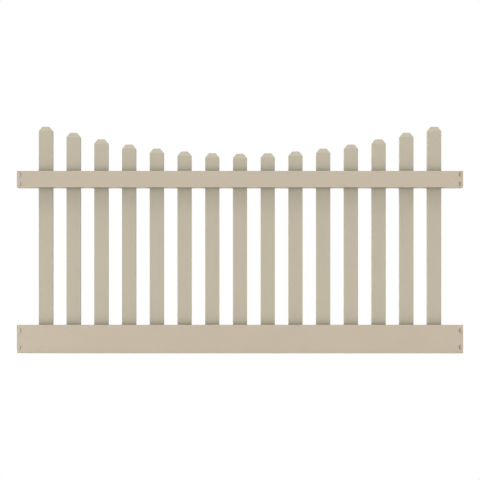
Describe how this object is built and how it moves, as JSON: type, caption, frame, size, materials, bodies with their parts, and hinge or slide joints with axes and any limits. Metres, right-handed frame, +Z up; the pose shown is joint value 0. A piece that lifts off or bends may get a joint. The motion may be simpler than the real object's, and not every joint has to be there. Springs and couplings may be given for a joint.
{
  "type": "vinyl fence panel",
  "caption": "Scalloped picket fence panel in tan vinyl: hollow dog-ear pickets pass through a routed top rail into a taller bottom rail with lock tabs for posts.",
  "frame": {"origin": "middle of the lower edge of the bottom rail's left end face", "axes": "+X along the rails from the left end to the right, +Y from the front to the back, +Z up"},
  "size_m": [2.388, 0.062, 1.2153],
  "materials": {
    "rail_vinyl": "satin",
    "picket_vinyl": "satin",
    "cap_vinyl": "satin"
  },
  "bodies": {
    "root": {"bottom_rail": "rail_vinyl", "picket_01": "picket_vinyl", "picket_02": "picket_vinyl", "picket_03": "picket_vinyl", "picket_04": "picket_vinyl", "picket_05": "picket_vinyl", "picket_06": "picket_vinyl", "picket_07": "picket_vinyl", "picket_08": "picket_vinyl", "picket_09": "picket_vinyl", "picket_10": "picket_vinyl", "picket_11": "picket_vinyl", "picket_12": "picket_vinyl", "picket_13": "picket_vinyl", "picket_14": "picket_vinyl", "picket_15": "picket_vinyl", "picket_cap_01": "cap_vinyl", "picket_cap_02": "cap_vinyl", "picket_cap_03": "cap_vinyl", "picket_cap_04": "cap_vinyl", "picket_cap_05": "cap_vinyl", "picket_cap_06": "cap_vinyl", "picket_cap_07": "cap_vinyl", "picket_cap_08": "cap_vinyl", "picket_cap_09": "cap_vinyl", "picket_cap_10": "cap_vinyl", "picket_cap_11": "cap_vinyl", "picket_cap_12": "cap_vinyl", "picket_cap_13": "cap_vinyl", "picket_cap_14": "cap_vinyl", "picket_cap_15": "cap_vinyl", "top_rail": "rail_vinyl"}
  },
  "joints": []
}
